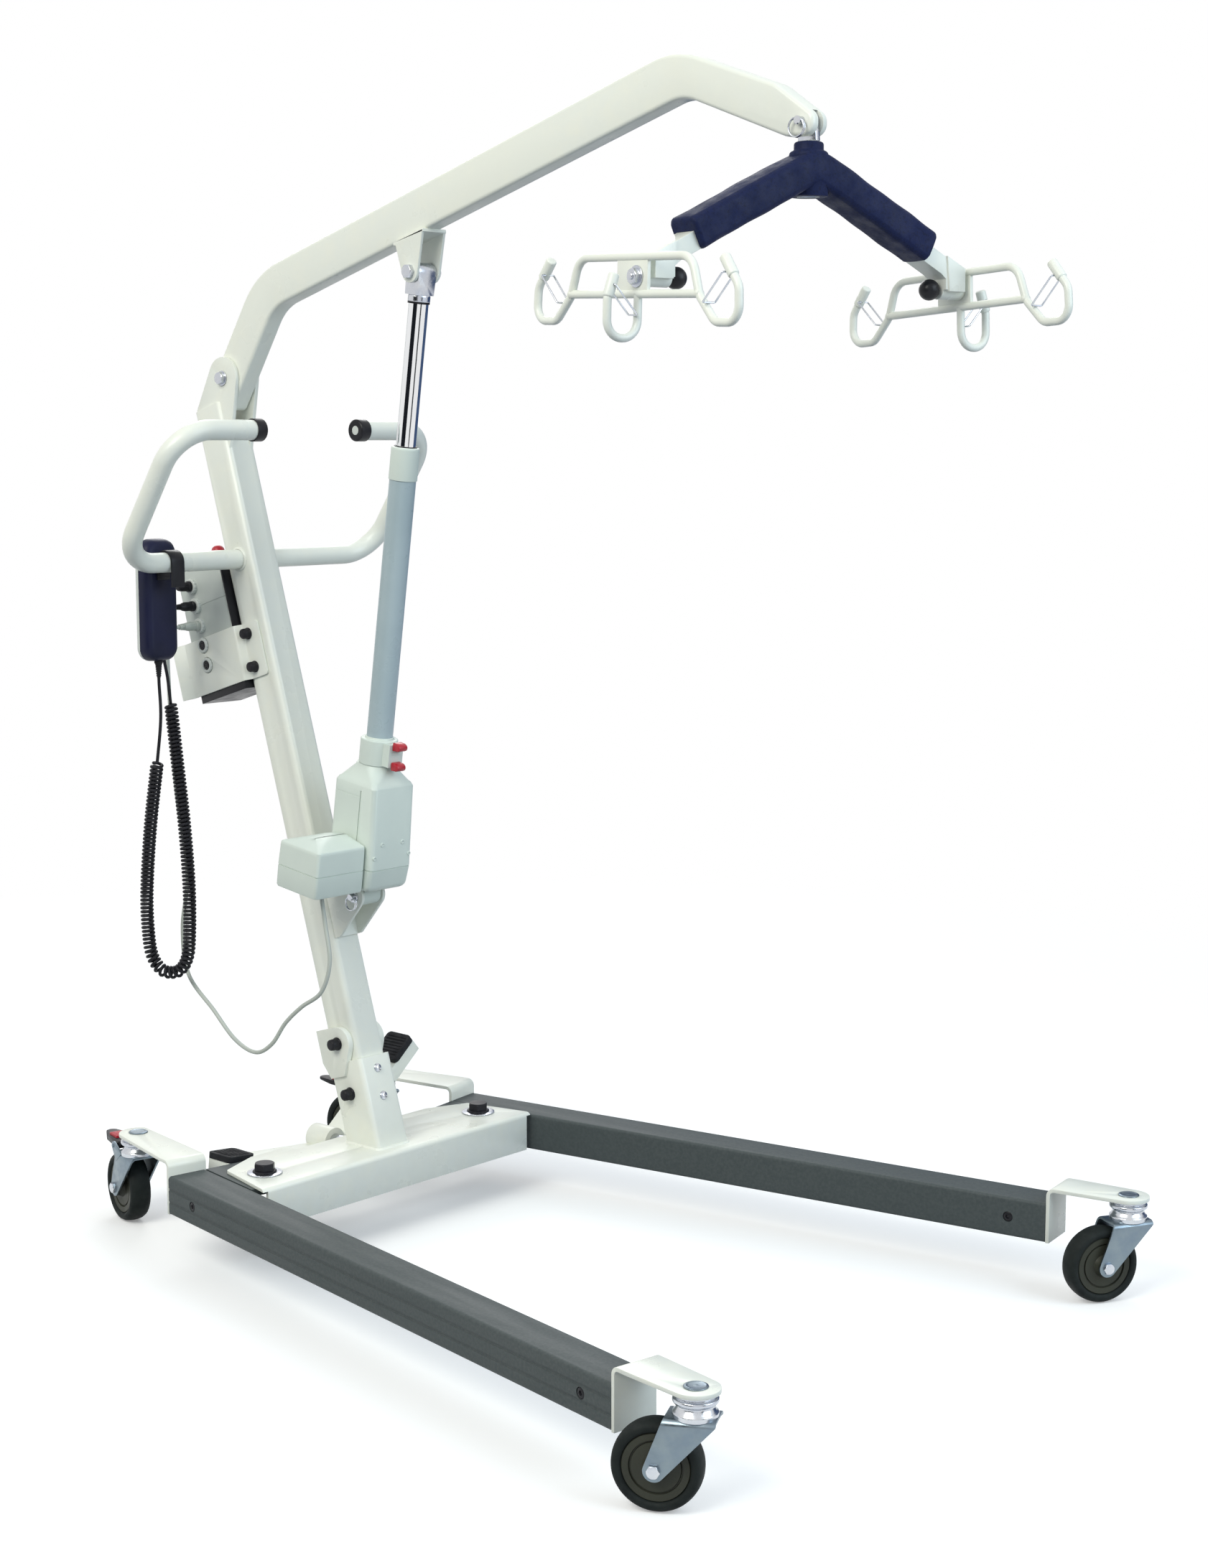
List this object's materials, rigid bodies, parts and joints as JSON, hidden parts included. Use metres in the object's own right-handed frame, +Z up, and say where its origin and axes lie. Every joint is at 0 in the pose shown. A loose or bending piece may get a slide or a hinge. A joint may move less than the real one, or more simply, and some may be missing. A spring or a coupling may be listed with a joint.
{
  "type": "patient lift",
  "caption": "Wheeled patient lift: a leaning mast on two spreading legs, a bent boom raised by an electric actuator, and a swivelling spreader bar with two hooked sling cradles.",
  "frame": {"origin": "on the floor, midway between the two bolts that the legs turn on", "axes": "+X forward, the way the legs point; +Y to the lift's left; +Z up"},
  "size_m": [1.364, 0.9664, 1.5652],
  "materials": {
    "white_coat": "smooth powder coat, slightly warm white",
    "leg_coat": "dark grey satin coat",
    "black_plastic": "fine grained",
    "grey_plastic": "smooth, slightly glossy",
    "grey_tube": "satin grey",
    "zinc_steel": "bright zinc plating",
    "tyre": "dark blue-grey rubber",
    "red_plastic": "smooth",
    "navy_fabric": "coated cover over foam",
    "navy_plastic": "smooth shell",
    "grey_cable": "smooth sheath",
    "black_cord": "smooth sheath"
  },
  "bodies": {
    "base": {"crossbeam": "white_coat", "mast_socket": "white_coat", "mast": "white_coat", "mast_clamp_bolt": "black_plastic", "boom_hinge_bolt": "zinc_steel", "handle_bar": "white_coat", "handle_cap_left": "black_plastic", "handle_cap_right": "black_plastic", "actuator_bracket": "white_coat", "control_base": "black_plastic", "control_box": "grey_plastic", "control_bracket": "white_coat", "handset_plug": "black_plastic", "actuator_plug": "grey_cable", "handset": "navy_plastic", "leg_bolt_left": "black_plastic", "leg_bolt_right": "black_plastic", "actuator_cable": "grey_cable", "handset_cord": "black_cord"},
    "boom": {"boom": "white_coat", "hang_pin": "zinc_steel"},
    "hanger": {"spreader_swivel": "zinc_steel"},
    "spreader": {"spreader_frame": "white_coat", "spreader_pad": "navy_fabric", "cradle_bolt_left": "black_plastic", "cradle_bolt_right": "black_plastic"},
    "cradle_left": {"cradle_left": "white_coat"},
    "cradle_right": {"cradle_right": "white_coat"},
    "actuator": {"actuator_housing": "grey_plastic", "actuator_motor": "grey_plastic", "actuator_tube": "grey_tube"},
    "actuator_rod": {"actuator_rod": "zinc_steel"},
    "release": {"release_lever": "red_plastic"},
    "pedal": {"pedal_rocker": "white_coat", "pedal_pad_left": "black_plastic", "pedal_pad_right": "black_plastic"},
    "emergency_stop": {"estop_button": "red_plastic"},
    "handset_key": {"handset_key": "grey_plastic"},
    "latch_fore_left": {"latch_fore_left": "zinc_steel"},
    "latch_aft_left": {"latch_aft_left": "zinc_steel"},
    "latch_middle_left": {"latch_middle_left": "zinc_steel"},
    "latch_fore_right": {"latch_fore_right": "zinc_steel"},
    "latch_aft_right": {"latch_aft_right": "zinc_steel"},
    "latch_middle_right": {"latch_middle_right": "zinc_steel"},
    "leg_right": {"leg_right": "leg_coat", "caster_plate_front_right": "white_coat", "caster_plate_rear_right": "white_coat"},
    "fork_front_right": {"caster_fork_front_right": "zinc_steel"},
    "wheel_front_right": {"caster_wheel_front_right": "tyre"},
    "fork_rear_right": {"caster_fork_rear_right": "zinc_steel"},
    "wheel_rear_right": {"caster_wheel_rear_right": "tyre"},
    "brake_rear_right": {"brake_lever_rear_right": "red_plastic"},
    "leg_left": {"leg_left": "leg_coat", "caster_plate_front_left": "white_coat", "caster_plate_rear_left": "white_coat"},
    "fork_front_left": {"caster_fork_front_left": "zinc_steel"},
    "wheel_front_left": {"caster_wheel_front_left": "tyre"},
    "fork_rear_left": {"caster_fork_rear_left": "zinc_steel"},
    "wheel_rear_left": {"caster_wheel_rear_left": "tyre"},
    "brake_rear_left": {"brake_lever_rear_left": "red_plastic"}
  },
  "joints": [
    {"name": "boom_hinge", "type": "hinge", "parent": "base", "child": "boom", "pos_m": [-0.278, 0, 1.197], "axis": [0, -1, 0], "range_deg": [-29, 17]},
    {"name": "actuator_pivot", "type": "hinge", "parent": "base", "child": "actuator", "pos_m": [-0.015, 0, 0.476], "axis": [0, -1, 0], "range_deg": [-5.5, 3.3]},
    {"name": "actuator_stroke", "type": "slide", "parent": "actuator", "child": "actuator_rod", "axis": [0.1448, 0, 0.9895], "range_m": [-0.19, 0.112]},
    {"name": "release_hinge", "type": "hinge", "parent": "actuator", "child": "release", "pos_m": [0.05507, 0, 0.69718], "axis": [0, -1, 0], "range_deg": [0, 20], "stiffness_Nm_per_rad": 0.05, "springref_deg": -5.73},
    {"name": "hang_pivot", "type": "hinge", "parent": "boom", "child": "hanger", "pos_m": [0.75, 0, 1.4718], "axis": [0, -1, 0], "range_deg": [-18, 30]},
    {"name": "spreader_turn", "type": "hinge", "parent": "hanger", "child": "spreader", "pos_m": [0.75, 0, 1.44], "axis": [0, 0, 1], "continuous": true},
    {"name": "cradle_tilt_left", "type": "hinge", "parent": "spreader", "child": "cradle_left", "pos_m": [0.80415, 0.23586, 1.2885], "axis": [0.2238, 0.9746, 0], "range_deg": [-30, 30]},
    {"name": "gate_fore_left", "type": "hinge", "parent": "cradle_left", "child": "latch_fore_left", "pos_m": [0.96077, 0.19991, 1.2988], "axis": [-0.2238, -0.9746, 0], "range_deg": [0, 30], "stiffness_Nm_per_rad": 0.02, "springref_deg": -5.73},
    {"name": "gate_aft_left", "type": "hinge", "parent": "cradle_left", "child": "latch_aft_left", "pos_m": [0.62974, 0.27591, 1.28338], "axis": [0.2238, 0.9746, 0], "range_deg": [0, 30], "stiffness_Nm_per_rad": 0.02, "springref_deg": -5.73},
    {"name": "gate_middle_left", "type": "hinge", "parent": "cradle_left", "child": "latch_middle_left", "pos_m": [0.81287, 0.27182, 1.27851], "axis": [0.9736, -0.2235, 0.0454], "range_deg": [0, 30], "stiffness_Nm_per_rad": 0.02, "springref_deg": -5.73},
    {"name": "cradle_tilt_right", "type": "hinge", "parent": "spreader", "child": "cradle_right", "pos_m": [0.69585, -0.23586, 1.2885], "axis": [0.2238, 0.9746, 0], "range_deg": [-30, 30]},
    {"name": "gate_fore_right", "type": "hinge", "parent": "cradle_right", "child": "latch_fore_right", "pos_m": [0.85275, -0.27189, 1.28476], "axis": [-0.2238, -0.9746, 0], "range_deg": [0, 30], "stiffness_Nm_per_rad": 0.02, "springref_deg": -5.73},
    {"name": "gate_aft_right", "type": "hinge", "parent": "cradle_right", "child": "latch_aft_right", "pos_m": [0.52166, -0.19587, 1.29899], "axis": [0.2238, 0.9746, 0], "range_deg": [0, 30], "stiffness_Nm_per_rad": 0.02, "springref_deg": -5.73},
    {"name": "gate_middle_right", "type": "hinge", "parent": "cradle_right", "child": "latch_middle_right", "pos_m": [0.68716, -0.27183, 1.27851], "axis": [-0.9738, 0.2236, 0.0419], "range_deg": [0, 30], "stiffness_Nm_per_rad": 0.02, "springref_deg": -5.73},
    {"name": "leg_hinge_right", "type": "hinge", "parent": "base", "child": "leg_right", "pos_m": [0, -0.2065, 0], "axis": [0, 0, 1], "range_deg": [0, 9.5]},
    {"name": "swivel_front_right", "type": "hinge", "parent": "leg_right", "child": "fork_front_right", "pos_m": [0.95497, -0.44052, 0.12], "axis": [0, 0, 1], "continuous": true},
    {"name": "roll_front_right", "type": "hinge", "parent": "fork_front_right", "child": "wheel_front_right", "pos_m": [0.91949, -0.45899, 0.05], "axis": [0.4617, -0.887, 0], "continuous": true},
    {"name": "swivel_rear_right", "type": "hinge", "parent": "leg_right", "child": "fork_rear_right", "pos_m": [-0.24293, -0.23195, 0.12], "axis": [0, 0, 1], "continuous": true},
    {"name": "roll_rear_right", "type": "hinge", "parent": "fork_rear_right", "child": "wheel_rear_right", "pos_m": [-0.28152, -0.2214, 0.05], "axis": [-0.2639, -0.9646, 0], "continuous": true},
    {"name": "brake_rear_right", "type": "hinge", "parent": "fork_rear_right", "child": "brake_rear_right", "pos_m": [-0.27959, -0.22193, 0.1125], "axis": [-0.2639, -0.9646, 0], "range_deg": [0, 6]},
    {"name": "leg_hinge_left", "type": "hinge", "parent": "base", "child": "leg_left", "pos_m": [0, 0.2065, 0], "axis": [0, 0, -1], "range_deg": [0, 9.5]},
    {"name": "swivel_front_left", "type": "hinge", "parent": "leg_left", "child": "fork_front_left", "pos_m": [0.95497, 0.44052, 0.12], "axis": [0, 0, 1], "continuous": true},
    {"name": "roll_front_left", "type": "hinge", "parent": "fork_front_left", "child": "wheel_front_left", "pos_m": [0.93497, 0.40588, 0.05], "axis": [0.866, -0.5, 0], "continuous": true},
    {"name": "swivel_rear_left", "type": "hinge", "parent": "leg_left", "child": "fork_rear_left", "pos_m": [-0.24293, 0.23195, 0.12], "axis": [0, 0, 1], "continuous": true},
    {"name": "roll_rear_left", "type": "hinge", "parent": "fork_rear_left", "child": "wheel_rear_left", "pos_m": [-0.28152, 0.2214, 0.05], "axis": [0.2639, -0.9646, 0], "continuous": true},
    {"name": "brake_rear_left", "type": "hinge", "parent": "fork_rear_left", "child": "brake_rear_left", "pos_m": [-0.27959, 0.22193, 0.1125], "axis": [0.2639, -0.9646, 0], "range_deg": [0, 6]},
    {"name": "pedal_rock", "type": "hinge", "parent": "base", "child": "pedal", "pos_m": [-0.108, 0, 0.105], "axis": [-1, 0, 0], "range_deg": [0, 34.8]},
    {"name": "stop_push", "type": "slide", "parent": "base", "child": "emergency_stop", "axis": [0.29, 0, -0.957], "range_m": [0, 0.004]},
    {"name": "key_rock", "type": "hinge", "parent": "base", "child": "handset_key", "pos_m": [-0.29233, -0.148, 0.905], "axis": [0, 1, 0], "range_deg": [-5, 5], "stiffness_Nm_per_rad": 0.02}
  ],
  "couplings": [
    {"joint": "actuator_pivot", "follows": "boom_hinge", "ratio": 0.1865},
    {"joint": "actuator_stroke", "follows": "boom_hinge", "m_per_rad": 0.3728},
    {"joint": "leg_hinge_left", "follows": "leg_hinge_right", "ratio": 1},
    {"joint": "pedal_rock", "follows": "leg_hinge_right", "ratio": 3.663}
  ]
}
